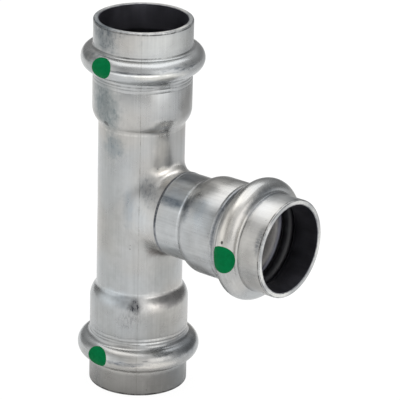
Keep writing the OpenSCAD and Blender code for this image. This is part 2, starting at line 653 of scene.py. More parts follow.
class Lathe:
    """Turns an outline round its axis with Geometry Nodes."""

    # Keeps a quotient that should be whole from falling just short of it
    ROW_NUDGE = 0.5 / 4096

    def __init__(self) -> None:
        """Builds the tree."""
        sketch, start, end = new_group(
            "Lathe",
            "GeometryNodeTree",
            [
                ("Outline", "NodeSocketGeometry", None),
                ("Segments", "NodeSocketInt", 96),
                ("Merge distance", "NodeSocketFloat", MERGE_DISTANCE),
                ("Material", "NodeSocketMaterial", None),
            ],
            [("Solid", "NodeSocketGeometry")],
        )
        outline, segments = start.outputs["Outline"], sketch.out(start, "Segments")
        count = sketch.out(sketch.node("GeometryNodeAttributeDomainSize", Geometry=outline), "Point Count")
        columns = segments + 1.0
        grid = sketch.node("GeometryNodeMeshGrid", Vertices_X=count, Vertices_Y=columns)
        index = sketch.out(sketch.node("GeometryNodeInputIndex"))
        row = (index / columns + self.ROW_NUDGE).call("FLOOR")
        angle = (index - row * columns) / segments * math.tau
        position = sketch.node("GeometryNodeInputPosition").outputs[0]
        place = self.sample(sketch, outline, "FLOAT_VECTOR", position, row)
        radius, _, depth = sketch.split(place)
        spot = sketch.vector(radius * angle.call("COSINE"), radius * angle.call("SINE"), depth)
        turned = sketch.node("GeometryNodeSetPosition", Geometry=grid.outputs["Mesh"], Position=spot)
        mark = sketch.node("GeometryNodeInputNamedAttribute")
        mark.data_type = "FLOAT"
        mark.inputs["Name"].default_value = "bore"
        store = sketch.node("GeometryNodeStoreNamedAttribute", Geometry=turned.outputs[0])
        store.data_type = "FLOAT"
        store.inputs["Name"].default_value = "bore"
        sketch.feed(store.inputs["Value"], self.sample(sketch, outline, "FLOAT", mark.outputs[0], row))
        outward = sketch.node("GeometryNodeFlipFaces", Mesh=store.outputs[0])
        merged = sketch.node("GeometryNodeMergeByDistance", Geometry=outward.outputs[0])
        sketch.feed(merged.inputs["Distance"], start.outputs["Merge distance"])
        real = sketch.node("GeometryNodeRealizeInstances", Geometry=merged.outputs[0])
        dressed = sketch.node("GeometryNodeSetMaterial", Geometry=real.outputs[0])
        sketch.feed(dressed.inputs["Material"], start.outputs["Material"])
        sketch.feed(end.inputs["Solid"], dressed.outputs[0])
        self.tree = sketch.tree

    @staticmethod
    def sample(sketch: Sketch, outline: object, kind: str, value: bpy.types.NodeSocket, row: Wire) -> Wire:
        """Reads a value at one point of the outline.

        Args:
            sketch: The sketch on the tree.
            outline: The outline's geometry.
            kind: The value's type, as Blender names it.
            value: The value.
            row: The point's number.

        Returns:
            What the value is there.
        """
        node = sketch.node("GeometryNodeSampleIndex")
        node.data_type = kind
        node.domain = "POINT"
        sketch.feed(node.inputs["Geometry"], outline)
        sketch.feed(node.inputs["Value"], value)
        sketch.feed(node.inputs["Index"], row)
        return sketch.out(node)

    def turn(self, name: str, outline: Outline, bore: Sequence[float], segments: int) -> bpy.types.Mesh:
        """Makes a solid of revolution.

        Args:
            name: Its name.
            outline: Points of radius and depth. A closed outline ends where it starts.
            bore: The mark of each point.
            segments: Number of steps round the axis.

        Returns:
            The mesh, in the socket's own frame.
        """
        line = bpy.data.meshes.new(name)
        edges = [(i, i + 1) for i in range(len(outline) - 1)]
        line.from_pydata([(radius, 0.0, depth) for radius, depth in outline], edges, [])
        line.attributes.new("bore", "FLOAT", "POINT").data.foreach_set("value", list(bore))
        holder = link(bpy.data.objects.new(name, line))
        modifier = holder.modifiers.new("Lathe", "NODES")
        modifier.node_group = self.tree
        set_input(modifier, "Segments", segments)
        return baked(holder, name)


def set_input(modifier: bpy.types.Modifier, label: str, value: object) -> None:
    """Sets a Geometry Nodes input by its socket's identifier.

    Args:
        modifier: The modifier.
        label: The input's name in the tree.
        value: What it is set to.
    """
    items = modifier.node_group.interface.items_tree
    found = next(i for i in items if i.name == label and getattr(i, "in_out", "") == "INPUT")
    modifier[found.identifier] = value


def baked(holder: bpy.types.Object, name: str) -> bpy.types.Mesh:
    """Turns an object's evaluated shape into a plain mesh.

    Args:
        holder: The object, which isn't needed afterwards and is removed.
        name: The mesh's name.

    Returns:
        The mesh.
    """
    depsgraph = bpy.context.evaluated_depsgraph_get()
    mesh = bpy.data.meshes.new_from_object(holder.evaluated_get(depsgraph), depsgraph=depsgraph)
    mesh.name = name
    bpy.data.objects.remove(holder)
    return mesh


def piece(
    name: str, mesh: bpy.types.Mesh, material: bpy.types.Material, slot: str, *nodes: str
) -> bpy.types.Object:
    """Puts a finished mesh into the scene in the place of CAD nodes.

    Args:
        name: The piece's name.
        mesh: Its mesh, in the frame.
        material: Its finish.
        slot: The record's material slot; not used.
        *nodes: The CAD nodes that it stands for.

    Returns:
        The piece.
    """
    mesh.materials.clear()
    mesh.materials.append(material)
    made = link(bpy.data.objects.new(name, mesh))
    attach(made, "root")
    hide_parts(*nodes)
    return made


@dataclass
class RunBody:
    """The run: a tube with a press socket at each end and a collar pulled out of its side."""

    frame: Frame
    socket: PressSocket
    tube_r: float = 11.0 * MM
    stub_r: float = 10.9 * MM
    collar_r: float = 2.0 * MM
    collar_len: float = 2.6 * MM
    weld_w: float = 0.8 * MM
    segments: int = 160
    side_steps: int = 56
    spread_steps: int = 26
    hollow_steps: int = 10
    collar_steps: int = 12
    least_ease: float = 0.6 * MM
    side_ease: float = 4.6 * MM
    ease_fade: float = 3.0
    ease_samples: int = 1200
    least_half: float = 1e-6

    @property
    def collar_end(self) -> float:
        """Distance from the run's axis to the faced end of the collar."""
        return self.tube_r + self.collar_len - self.weld_w / 2

    def border(self) -> np.ndarray:
        """The edge of the unrolled tube between the shoulders.

        Returns:
            Points of angle round the run and height above the branch axis, right-handed as
            seen from outside, starting at the lower left corner.
        """
        half = self.frame.branch_z - self.socket.shoulder_end(self.tube_r)
        across = np.linspace(-math.pi, math.pi, self.segments + 1)
        up = np.linspace(-half, half, self.side_steps + 1)
        lower = [(a, -half) for a in across[:-1]]
        right = [(math.pi, z) for z in up[:-1]]
        upper = [(a, half) for a in across[:0:-1]]
        left = [(-math.pi, z) for z in up[:0:-1]]
        return np.array(lower + right + upper + left)

    def on_tube(self, unrolled: np.ndarray, radius: float) -> np.ndarray:
        """Wraps points round the run.

        Args:
            unrolled: Points of angle and height above the branch axis.
            radius: Their radius.

        Returns:
            The points in the frame.
        """
        angle, height = unrolled.T
        spots = [radius * np.cos(angle), radius * np.sin(angle), self.frame.branch_z + height]
        return np.stack(spots, axis=1)

    def spread(self, hole: np.ndarray, border: np.ndarray, radius: float) -> list[np.ndarray]:
        """Rows over the tube, from its border in to a hole in it."""
        shares = np.linspace(0, 1, self.spread_steps + 1)
        return [self.on_tube(border + (hole - border) * share, radius) for share in shares]

    def eased(self, rows: list[np.ndarray], around: np.ndarray, hollow: int) -> list[np.ndarray]:
        """Softens the way from the tube into the collar, most at its sides, as pulled metal does.

        Args:
            rows: Rows over the tube, through the hollow and along the collar.
            around: Each column's angle round the branch, from 0 at the top.
            hollow: Number of the row at which the hollow starts.

        Returns:
            The rows, each point drawn to the mean of its column near it.
        """
        grid = np.array(rows)
        reach = self.least_ease + self.side_ease * np.sin(around) ** 2
        steps = np.linalg.norm(np.diff(grid, axis=0), axis=2)
        way = np.concatenate([np.zeros((1, len(around))), np.cumsum(steps, axis=0)])
        for number, span in enumerate(reach):
            column, along = grid[:, number], way[:, number]
            fine = np.linspace(0, along[-1], self.ease_samples)
            line = np.stack([np.interp(fine, along, part) for part in column.T], axis=1)
            slices = (line[1:] + line[:-1]) / 2 * (fine[1] - fine[0])
            area = np.concatenate([[[0, 0, 0]], np.cumsum(slices, axis=0)])
            near = np.clip(1 - (along[hollow] - along) / (self.ease_fade * span), 0, 1)
            room = np.minimum(along, along[-1] - along)
            half = np.maximum(np.minimum(span * near, room), self.least_half)
            upper, lower = (
                np.stack([np.interp(edge, fine, part) for part in area.T], axis=1)
                for edge in (along + half, along - half)
            )
            mean = (upper - lower) / (2 * half[:, None])
            grid[:, number] = np.where(half[:, None] > 2 * self.least_half, mean, column)
        return list(grid)

    def build(self, lathe: Lathe) -> bpy.types.Mesh:
        """Makes the run's mesh.

        Args:
            lathe: Turns the two sockets.

        Returns:
            One closed mesh, in the frame.
        """
        shell = Shell()
        outer, inner = self.socket.outer_path(self.tube_r), self.socket.inner_path(self.tube_r)
        marks = [1.0] * len(inner) + [0.0] * len(outer)
        end = lathe.turn("socket", list(reversed(inner)) + outer, marks, self.segments)
        for site in (Site.BOTTOM, Site.TOP):
            shell.add_mesh(end, self.frame.place(site))

        # Each column of the tube's face runs to the ball that rolls in the corner with the branch,
        # up to the edge where the ball touches the tube
        border = self.border()
        around = np.arctan2(border[:, 0] * self.tube_r, border[:, 1])
        sine, cosine = np.sin(around), np.cos(around)
        rolled = self.stub_r + self.collar_r
        ball_y, ball_z = rolled * sine, rolled * cosine
        ball_x = np.sqrt((self.tube_r + self.collar_r) ** 2 - ball_y**2)
        hole = np.stack([np.arctan2(ball_y, ball_x), ball_z], axis=1)
        over_tube = self.spread(hole, border, self.tube_r)

        # The hollow is the ball's own arc, from where it touches the run to where it touches the branch
        height = self.frame.branch_z
        ball = np.stack([ball_x, ball_y, ball_z + height], axis=1)
        to_run = np.stack([-ball_x, -ball_y, 0 * ball_x], axis=1) / (self.tube_r + self.collar_r)
        to_branch = np.stack([0 * sine, -sine, -cosine], axis=1)
        opening = np.arccos((to_run * to_branch).sum(1))[:, None]
        hollow = []
        for share in np.linspace(0, 1, self.hollow_steps + 1):
            way = np.sin(opening * (1 - share)) * to_run + np.sin(opening * share) * to_branch
            hollow.append(ball + self.collar_r * way / np.sin(opening))

        def ring(radius: float, x: np.ndarray | float) -> np.ndarray:
            """A row round the branch axis."""
            return np.stack([x + 0 * sine, radius * sine, radius * cosine + height], axis=1)

        # Out along the collar to its faced end, then back through its bore into the run
        shares = np.linspace(0, 1, self.collar_steps + 1)
        collar = [ring(self.stub_r, ball_x + (self.collar_end - ball_x) * share) for share in shares]
        way_out = over_tube + hollow[1:] + collar[1:]
        shell.add_rows(self.eased(way_out, around, self.spread_steps), 0.0)
        bore_r, run_bore_r = self.stub_r - self.socket.wall, self.tube_r - self.socket.wall
        shell.add_rows([ring(self.stub_r, self.collar_end), ring(bore_r, self.collar_end)], 0.0)
        meet = np.sqrt(run_bore_r**2 - (bore_r * sine) ** 2)
        back = [ring(bore_r, self.collar_end + (meet - self.collar_end) * share) for share in shares]
        shell.add_rows(back, 1.0)
        inner_hole = np.stack([np.arctan2(bore_r * sine, meet), bore_r * cosine], axis=1)
        shell.add_rows(self.spread(inner_hole, border, run_bore_r)[::-1], 1.0)
        return shell.mesh("run_tube")

    def dress(self, lathe: Lathe, steel: bpy.types.Material) -> bpy.types.Object:
        """Puts the run into the scene in its finish."""
        return piece("run_tube", self.build(lathe), steel, "run_steel", "run_body")


@dataclass
class BranchSocket:
    """The branch: one press socket with a short stub."""

    frame: Frame
    socket: PressSocket
    run: RunBody
    segments: int = 160

    def build(self, lathe: Lathe) -> bpy.types.Mesh:
        """Makes the branch's mesh.

        Args:
            lathe: Turns it.

        Returns:
            One closed mesh, in the frame.
        """
        stub_end = self.frame.branch_len - self.run.collar_end - self.run.weld_w
        stub_r = self.run.stub_r
        outer, inner = self.socket.outer_path(stub_r), self.socket.inner_path(stub_r)
        loop = [(stub_r - self.socket.wall, stub_end), *reversed(inner), *outer, (stub_r, stub_end)]
        marks = [1.0] * (len(inner) + 1) + [0.0] * (len(outer) + 1)
        shell = Shell()
        solid = lathe.turn("branch", [*loop, loop[0]], [*marks, marks[0]], self.segments)
        shell.add_mesh(solid, self.frame.place(Site.BRANCH))
        return shell.mesh("branch_tube")

    def dress(self, lathe: Lathe, steel: bpy.types.Material) -> bpy.types.Object:
        """Puts the branch into the scene in its finish."""
        return piece("branch_tube", self.build(lathe), steel, "branch_steel", "branch_socket")


@dataclass
class SealRing:
    """The rubber ring that lies in a bead."""

    frame: Frame
    socket: PressSocket
    site: Site
    clearance: float = 0.04 * MM
    flash: float = 0.03 * MM
    flash_turn: float = 0.09
    segments: int = 144
    section_steps: int = 40

    def build(self, lathe: Lathe) -> bpy.types.Mesh:
        """Makes the ring's mesh.

        Args:
            lathe: Turns the ring.

        Returns:
            A ring in the frame, with the fine line that its mould left round the inside.
        """
        cord_r = self.socket.bead_crown_r - self.socket.wall - self.clearance
        centre_r, depth = self.socket.bead_r - self.socket.bead_crown_r, self.socket.bead_top
        outline: Outline = []
        for turn in np.linspace(0, math.tau, self.section_steps + 1):
            radius = cord_r + self.flash * math.exp(-(((turn - math.pi) / self.flash_turn) ** 2))
            outline.append((centre_r + radius * math.cos(turn), depth + radius * math.sin(turn)))
        outline[-1] = outline[0]
        shell = Shell()
        ring = lathe.turn("ring", outline, [0.0] * len(outline), self.segments)
        shell.add_mesh(ring, self.frame.place(self.site))
        return shell.mesh(f"{self.site.value}_seal_ring")

    def dress(self, lathe: Lathe, rubber: bpy.types.Material) -> bpy.types.Object:
        """Puts the ring into the scene in its finish."""
        mouth = self.site.value
        return piece(f"{mouth}_seal_ring", self.build(lathe), rubber, "seal_rubber", f"{mouth}_seal")


@dataclass
class PaintDot:
    """A spot of paint on a bead's crown, put on by a pad, so that its edge is not quite round."""

    frame: Frame
    socket: PressSocket
    site: Site
    angle: float
    lobes: tuple[float, float, float]
    half_round: float = 3.1 * MM
    half_along: float = 3.2 * MM
    thickness: float = 0.09 * MM
    sunk: float = 0.05 * MM
    edge_share: float = 0.14
    hub_share: float = 0.02
    sink_rate: float = 6.0
    wobble: float = 0.04
    to_mouth: float = 0.05 * MM
    rings: int = 20
    sectors: int = 80

    def outline_share(self, turn: np.ndarray) -> np.ndarray:
        """How far the edge lies out in each direction, as a share of the radius."""
        waves = (np.cos(count * turn + phase) for count, phase in enumerate(self.lobes, start=1))
        return 1 + self.wobble * sum(waves)

    def layer(self, share: float, lift: float) -> np.ndarray:
        """Lays one ring of points.

        Args:
            share: Its size, as a share of the spot's.
            lift: Its height over the metal.

        Returns:
            Its points, in the socket's own frame.
        """
        turn = np.linspace(0, math.tau, self.sectors, endpoint=False)
        reach = share * self.outline_share(turn)
        along = self.half_along * reach * np.cos(turn) - self.to_mouth
        radius, depth, outward, deeper = self.socket.skin(along)
        swing = math.radians(self.angle) + self.half_round * reach * np.sin(turn) / self.socket.bead_r
        out = radius + lift * outward
        return np.stack([out * np.cos(swing), out * np.sin(swing), depth + lift * deeper], axis=1)

    def build(self) -> bpy.types.Mesh:
        """Makes the spot's mesh.

        Returns:
            A thin closed skin with a rounded edge, in the frame.
        """
        shares = np.linspace(1, self.hub_share, self.rings)
        edge = np.clip((1 - shares) / self.edge_share, 0, 1)
        lifts = self.thickness * np.sqrt(1 - (1 - edge) ** 2)
        upper = [self.layer(share, lift) for share, lift in zip(shares, lifts)]
        lower = [self.layer(share, -self.sunk * min(1.0, self.sink_rate * (1 - share))) for share in shares]
        shell = Shell()
        place = self.frame.place(self.site)
        turned = place.determinant() > 0

        def moved(rows: list[np.ndarray]) -> list[np.ndarray]:
            """Rows in the frame."""
            return [np.array([place @ Vector(point) for point in row]) for row in rows]

        top, under = moved(upper), moved(lower)
        shell.add_rows(top[::-1] if turned else top, 0.0)
        shell.add_rows(under if turned else under[::-1], 0.0)
        for row, outward in ((top[-1], not turned), (under[-1], turned)):
            face = range(self.sectors) if outward else range(self.sectors - 1, -1, -1)
            shell.add(row, [tuple(face)], [0.0] * self.sectors)
        return shell.mesh(f"{self.site.value}_paint")

    def dress(self, paint: bpy.types.Material) -> bpy.types.Object:
        """Puts the spot into the scene in its finish."""
        mouth = self.site.value
        return piece(f"{mouth}_paint", self.build(), paint, "dot_paint", f"{mouth}_dot")


@dataclass
class WeldSeam:
    """The weld between the collar and the branch, with the ripples of its bead."""

    frame: Frame
    socket: PressSocket
    run: RunBody
    crown: float = 0.08 * MM
    ripples: int = 210
    ripple_height: float = 0.018 * MM
    ripple_fill: float = 0.9
    ripple_seat: float = 0.4
    ripple_body: float = 0.6
    least_ripple: float = 0.75
    crown_steps: int = 8
    segments: int = 160

    def ripple_tree(self) -> bpy.types.NodeTree:
        """Builds the tree that sets ripples round a ring.

        Returns:
            The tree.
        """
        sketch, start, end = new_group(
            "Weld ripples",
            "GeometryNodeTree",
            [
                ("Ring", "NodeSocketGeometry", None),
                ("Count", "NodeSocketInt", 100),
                *number_inputs(Radius=0.01, Length=0.001, Width=0.0004, Height=0.0001),
                ("Seed", "NodeSocketInt", 3),
                ("Material", "NodeSocketMaterial", None),
            ],
            [("Weld", "NodeSocketGeometry")],
        )
        given = start.outputs
        circle = sketch.node("GeometryNodeMeshCircle", Vertices=given["Count"], Radius=given["Radius"])
        position = sketch.node("GeometryNodeInputPosition").outputs[0]
        outward = sketch.node("FunctionNodeAlignRotationToVector", Vector=position)
        outward.axis = "X"
        ball = sketch.node("GeometryNodeMeshUVSphere", Segments=8, Rings=6, Radius=0.5)
        height, width, length = (sketch.out(start, name) for name in ("Height", "Width", "Length"))
        shape = sketch.vector(height * 2.0, width, length)
        ripple = sketch.node("GeometryNodeTransform", Geometry=ball.outputs["Mesh"], Scale=shape)
        chance = sketch.node("FunctionNodeRandomValue", Seed=given["Seed"])
        chance.data_type = "FLOAT"
        low, high = [s for s in chance.inputs if s.type == "VALUE"][:2]
        low.default_value, high.default_value = self.least_ripple, 1.0
        size = Wire(sketch, next(s for s in chance.outputs if s.type == "VALUE"))
        spots = sketch.node(
            "GeometryNodeInstanceOnPoints",
            Points=circle.outputs["Mesh"],
            Instance=ripple.outputs[0],
            Rotation=outward.outputs[0],
            Scale=sketch.vector(size, 1.0, size),
        )
        joined = sketch.node("GeometryNodeJoinGeometry")
        sketch.feed(joined.inputs[0], given["Ring"])
        sketch.feed(joined.inputs[0], spots.outputs[0])
        real = sketch.node("GeometryNodeRealizeInstances", Geometry=joined.outputs[0])
        smooth = sketch.node("GeometryNodeSetShadeSmooth", Geometry=real.outputs[0])
        dressed = sketch.node("GeometryNodeSetMaterial", Geometry=smooth.outputs[0])
        sketch.feed(dressed.inputs["Material"], given["Material"])
        sketch.feed(end.inputs["Weld"], dressed.outputs[0])
        return sketch.tree

    def build(self, lathe: Lathe, material: bpy.types.Material) -> bpy.types.Mesh:
        """Makes the weld's mesh.

        Args:
            lathe: Turns the ring that fills the gap.
            material: The weld's finish.

        Returns:
            The ring with its ripples, in the frame.
        """
        stub_r, width = self.run.stub_r, self.run.weld_w
        crown_r = (width * width / 4 + self.crown * self.crown) / (2 * self.crown)
        lean = math.degrees(math.asin(width / 2 / crown_r))
        centre = (stub_r + self.crown - crown_r, width / 2)
        outline = [(stub_r - self.socket.wall, width), (stub_r - self.socket.wall, 0.0)]
        outline += PressSocket.arc(centre, crown_r, -lean, lean, self.crown_steps)
        ring = lathe.turn("ring", [*outline, outline[0]], [0.0] * (len(outline) + 1), self.segments)
        ring.transform(Matrix.Translation((0, 0, -width / 2)))
        holder = link(bpy.data.objects.new("weld", ring))
        modifier = holder.modifiers.new("Ripples", "NODES")
        modifier.node_group = self.ripple_tree()
        pitch = math.tau * stub_r / self.ripples
        for label, value in (
            ("Count", self.ripples),
            ("Radius", stub_r + self.crown * self.ripple_seat),
            ("Length", width * self.ripple_fill),
            ("Width", pitch * self.ripple_fill),
            ("Height", self.crown * self.ripple_body + self.ripple_height),
            ("Material", material),
        ):
            set_input(modifier, label, value)
        mesh = baked(holder, "weld_seam")
        turn = Matrix.Rotation(math.radians(90), 4, "Y")
        middle = self.run.collar_end + width / 2
        mesh.transform(Matrix.Translation((middle, 0, self.frame.branch_z)) @ turn)
        return mesh

    def dress(self, lathe: Lathe, steel: bpy.types.Material) -> bpy.types.Object:
        """Puts the weld into the scene in its finish."""
        return piece("weld_seam", self.build(lathe, steel), steel, "weld_steel", "branch_weld")


@dataclass(frozen=True)
class Viewpoint:
    """The camera's place round the tee, as it stood for the photograph."""

    azimuth: float = 38.407
    elevation: float = 21.753
    roll: float = 1.395
    distance: float = 0.8
    aim: tuple[float, float, float] = (19.288 * MM, 0.0, 54.318 * MM)
    focal_pixels: float = 3193.26
    sensor: float = 36.0
    clip: tuple[float, float] = (0.05, 50.0)

    def build(self) -> None:
        """Makes the camera."""
        back = direction(self.azimuth - 90, self.elevation)
        right = direction(self.azimuth, 0)
        up = back.cross(right)
        lean = math.radians(self.roll)
        rolled_right = math.cos(lean) * right + math.sin(lean) * up
        rolled_up = math.cos(lean) * up - math.sin(lean) * right
        turn = Matrix((rolled_right, rolled_up, back)).transposed().to_4x4()
        data = bpy.data.cameras.new("view")
        data.sensor_width = self.sensor
        data.lens = self.focal_pixels / IMAGE_SIZE * self.sensor
        data.clip_start, data.clip_end = self.clip
        camera = link(bpy.data.objects.new("view", data))
        camera.matrix_world = Matrix.Translation(Vector(self.aim) + back * self.distance) @ turn
        bpy.context.scene.camera = camera


class Effects:
    """The node groups that the finishes share."""

    def __init__(self) -> None:
        """Builds the groups."""
        self.place = self.place_group()
        self.drawn = self.drawn_group()
        self.mark = self.stain_and_light_group()
        self.line = self.line_group()
        self.pits = self.pits_group()

    @staticmethod
    def place_group() -> bpy.types.NodeTree:
        """Finds where a point lies on a turned part.

        Returns:
            A group for its angle, radius, height, and depth from the nearer mouth.
        """
        sketch, start, end = new_effect(
            "Turned place",
            [("Vector", "NodeSocketVector", None), *number_inputs(Length=0.1)],
            "Angle",
            "Radius",
            "Height",
            "Depth",
        )
        x, y, z = sketch.split(sketch.out(start, "Vector"))
        sketch.feed(end.inputs["Angle"], y.call("ARCTAN2", x))
        sketch.feed(end.inputs["Radius"], (x * x + y * y).call("SQRT"))
        sketch.feed(end.inputs["Height"], z)
        sketch.feed(end.inputs["Depth"], z.call("MINIMUM", sketch.out(start, "Length") - z))
        return sketch.tree

    @staticmethod
    def drawn_group() -> bpy.types.NodeTree:
        """Pickled tube: lines along it, lines round it where it was rolled, and clouds.

        Returns:
            A group for the tone, which way the tint leans, the change of gloss, and the relief.
        """
        sketch, start, end = new_effect(
            "Drawn steel",
            [("Vector", "NodeSocketVector", None), *number_inputs(Rolled=0.0, Lines=0.3, Clouds=0.3)],
            "Tone",
            "Tint",
            "Gloss",
            "Height",
        )
        vector, rolled = sketch.out(start, "Vector"), sketch.out(start, "Rolled")
        # A small share in one direction draws the pattern out that way
        fine = sketch.noise(sketch.stretched(vector, 1, 1, 0.03), scale=2200, detail=4, rough=0.65)
        broad = sketch.noise(sketch.stretched(vector, 1, 1, 0.05), scale=420, detail=3, rough=0.6)
        round_fine = sketch.noise(sketch.stretched(vector, 0.05, 0.05, 1), scale=3200, detail=4, rough=0.65)
        round_broad = sketch.noise(sketch.stretched(vector, 0.09, 0.09, 1), scale=700, detail=3, rough=0.6)
        along = fine * 0.6 + broad * 0.4 - 0.5
        about = round_fine * 0.5 + round_broad * 0.5 - 0.5
        lines = along * (1.0 - rolled * 0.75) + about * (rolled * 0.9 + 0.1)
        cloud = sketch.noise(vector, scale=170, detail=5, rough=0.62) - 0.5
        patch = sketch.noise(vector, scale=60, detail=3, rough=0.5) - 0.5
        tone = 1.0 + lines * sketch.out(start, "Lines") + (cloud + patch * 0.7) * sketch.out(start, "Clouds")
        sketch.feed(end.inputs["Tone"], tone)
        sketch.feed(end.inputs["Tint"], sketch.noise(vector, scale=48, detail=2, rough=0.5).rise(0.38, 0.62))
        sketch.feed(end.inputs["Gloss"], cloud + lines * 0.4)
        sketch.feed(end.inputs["Height"], lines)
        return sketch.tree

    @staticmethod
    def stain_and_light_group() -> bpy.types.NodeTree:
        """A patch at an angle and a height, with a torn edge, for stains and for painted highlights,
        reflections and shade.

        Returns:
            A group for its mask.
        """
        numbers = number_inputs(
            Angle=0.0,
            Height=0.0,
            Tear=0.5,
            Break=0.5,
            At_angle=0.0,
            At_height=0.0,
            Half_arc=0.1,
            Half_height=0.001,
            Softness=0.8,
            Broken=0.0,
        )
        sketch, start, end = new_effect("StainAndPaintedLight", numbers, "Mask")
        angle, height, tear, crack, at_angle, at_height, half_arc, half_height, softness, broken = (
            sketch.out(start, name) for name, _, _ in numbers
        )
        aside = (angle - at_angle).call("WRAP", math.pi, -math.pi) / half_arc
        above = (height - at_height) / half_height
        far = (aside * aside + above * above).call("SQRT") + (tear - 0.5) * 1.6
        body = ((1.0 + softness * 0.5 - far) / softness).rise(0.0, 1.0)
        sketch.feed(end.inputs["Mask"], body * (1.0 - broken * (1.0 - crack.rise(0.5, 0.6))))
        return sketch.tree

    @staticmethod
    def line_group() -> bpy.types.NodeTree:
        """A thin line at one value of a place, broken here and there.

        Returns:
            A group for its mask.
        """
        numbers = number_inputs(Place=0.0, Centre=0.0, Half_width=0.0001, Break=0.5, Broken=0.5)
        sketch, start, end = new_effect("Thin line", numbers, "Mask")
        place, centre, half_width, crack, broken = (sketch.out(start, name) for name, _, _ in numbers)
        away = (place - centre).call("ABSOLUTE") / half_width
        whole = 1.0 - broken * (1.0 - crack.rise(0.46, 0.58))
        sketch.feed(end.inputs["Mask"], away.rise(1.0, 0.4) * whole)
        return sketch.tree

    @staticmethod
    def pits_group() -> bpy.types.NodeTree:
        """Small dark pits and specks, in some of the cells of a pattern.

        Returns:
            A group for their mask.
        """
        inputs = [("Vector", "NodeSocketVector", None), *number_inputs(Scale=300.0, Size=0.07, Share=0.3)]
        sketch, start, end = new_effect("Pits", inputs, "Mask")
        vector, scale, reach, share = (sketch.out(start, name) for name, _, _ in inputs)
        cells = sketch.node("ShaderNodeTexVoronoi", Vector=vector, Scale=scale)
        chance, size, _ = sketch.split(sketch.out(cells, "Color"))
        near = (reach * (0.4 + size) - sketch.out(cells, "Distance")).rise(0.0, 0.03)
        sketch.feed(end.inputs["Mask"], near * chance.call("LESS_THAN", share))
        return sketch.tree


@dataclass(frozen=True)
class StainAndPaintedLight:
    """One patch on the metal: a stain, a painted highlight, a painted reflection or painted shade.

    The angle is in degrees round the part's axis and the other sizes are in millimetres.
    """

    angle: float
    height: float
    half_arc: float
    half_height: float
    factor: Colour
    softness: float = 0.8
    broken: float = 0.0
    strength: float = 1.0


@dataclass(frozen=True)
class Metal:
    """What a steel finish reads at a point of its part."""

    sketch: Sketch
    effects: Effects
    vector: Wire
    angle: Wire
    radius: Wire
    height: Wire
    depth: Wire
    rolled: Wire
    tear: Wire
    crack: Wire

    @classmethod
    def read(
        cls, sketch: Sketch, effects: Effects, socket: PressSocket, vector: Wire, length: float
    ) -> Metal:
        """Sets out the places and the patterns that the marks break up on.

        Args:
            sketch: The sketch on the material's tree.
            effects: The shared node groups.
            socket: The sizes of a socket.
            vector: The place, in a frame that stands on a mouth.
            length: Distance to the other mouth.

        Returns:
            The readings.
        """
        place = sketch.group(effects.place, Vector=vector, Length=length)
        angle, radius, height, depth = (sketch.out(place, n) for n in ("Angle", "Radius", "Height", "Depth"))
        rolled = depth.rise(socket.bead_end + 0.4 * MM, socket.bead_end - 1 * MM)
        rolled *= depth.rise(socket.guide_len - 4.3 * MM, socket.guide_len + 0.7 * MM)
        tear = sketch.noise(vector, scale=520, detail=4, rough=0.65)
        along = sketch.noise(sketch.stretched(vector, 1, 1, 0.35), scale=1900, detail=3, rough=0.6)
        about = sketch.noise(sketch.stretched(vector, 0.22, 0.22, 1), scale=2400, detail=3, rough=0.6)
        crack = along + (about - along) * rolled
        return cls(sketch, effects, vector, angle, radius, height, depth, rolled, tear, crack)

    def line(self, place: Wire, centre: float, half_width: float, broken: float) -> Wire:
        """Draws a thin line.

        Args:
            place: What the line is a value of, such as the depth.
            centre: The value in its middle.
            half_width: Half its width.
            broken: How far its gaps let the metal through, from 0 to 1.

        Returns:
            Its mask.
        """
        made = self.sketch.group(
            self.effects.line,
            Place=place,
            Centre=centre,
            Half_width=half_width,
            Break=self.tear,
            Broken=broken,
        )
        return self.sketch.out(made)

    def spot(self, mark: StainAndPaintedLight, radius: float) -> Wire:
        """Places a stain, a painted highlight, a painted reflection or painted shade.

        Args:
            mark: Its place and its looks.
            radius: The part's radius, which turns its width into an angle.

        Returns:
            Its mask.
        """
        made = self.sketch.group(
            self.effects.mark,
            Angle=self.angle,
            Height=self.height,
            Tear=self.tear,
            Break=self.crack,
            At_angle=math.radians(mark.angle),
            At_height=mark.height * MM,
            Half_arc=mark.half_arc * MM / radius,
            Half_height=mark.half_height * MM,
            Softness=mark.softness,
            Broken=mark.broken,
        )
        return self.sketch.out(made) * mark.strength


@dataclass(frozen=True)
class RingLine:
    """A fine line round a part, mostly painted shade in hollows and a painted highlight on a curve: a tone
    under 1 is dark, over 1 light.
    """

    depth: float
    half_width: float
    tone: float
    broken: float


